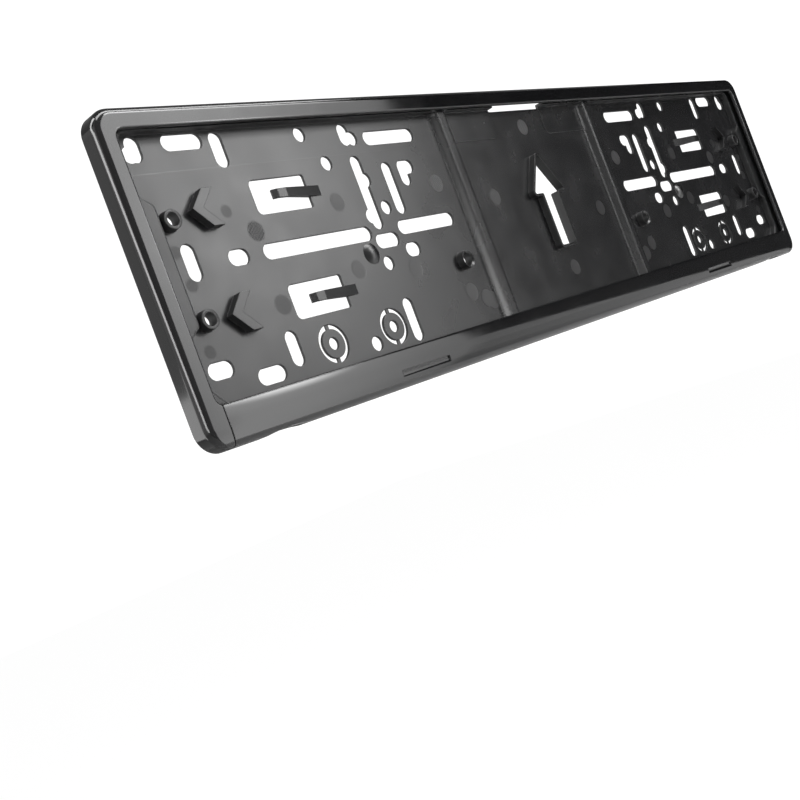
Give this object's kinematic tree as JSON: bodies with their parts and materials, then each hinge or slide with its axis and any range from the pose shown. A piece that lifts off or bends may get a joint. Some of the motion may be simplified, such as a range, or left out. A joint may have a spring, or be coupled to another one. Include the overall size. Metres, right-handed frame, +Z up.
{
  "type": "number plate holder",
  "caption": "Empty number plate holder: a slotted back tray with a rounded rim and sprung tongues, and a separate clip-in strip along the lower edge.",
  "frame": {"origin": "centre of the rectangle of four round screw holes, on the tray's flat back face", "axes": "+X to the right seen from the front, +Y rearward into the bumper, +Z up"},
  "size_m": [0.53, 0.0085, 0.1265],
  "materials": {
    "tray_plastic": "black injection-moulded plastic, satin floor and glossier rim",
    "strip_plastic": "black injection-moulded plastic, semi-gloss"
  },
  "bodies": {
    "root": {"holder_base": "tray_plastic", "retaining_strip": "strip_plastic"}
  },
  "joints": []
}
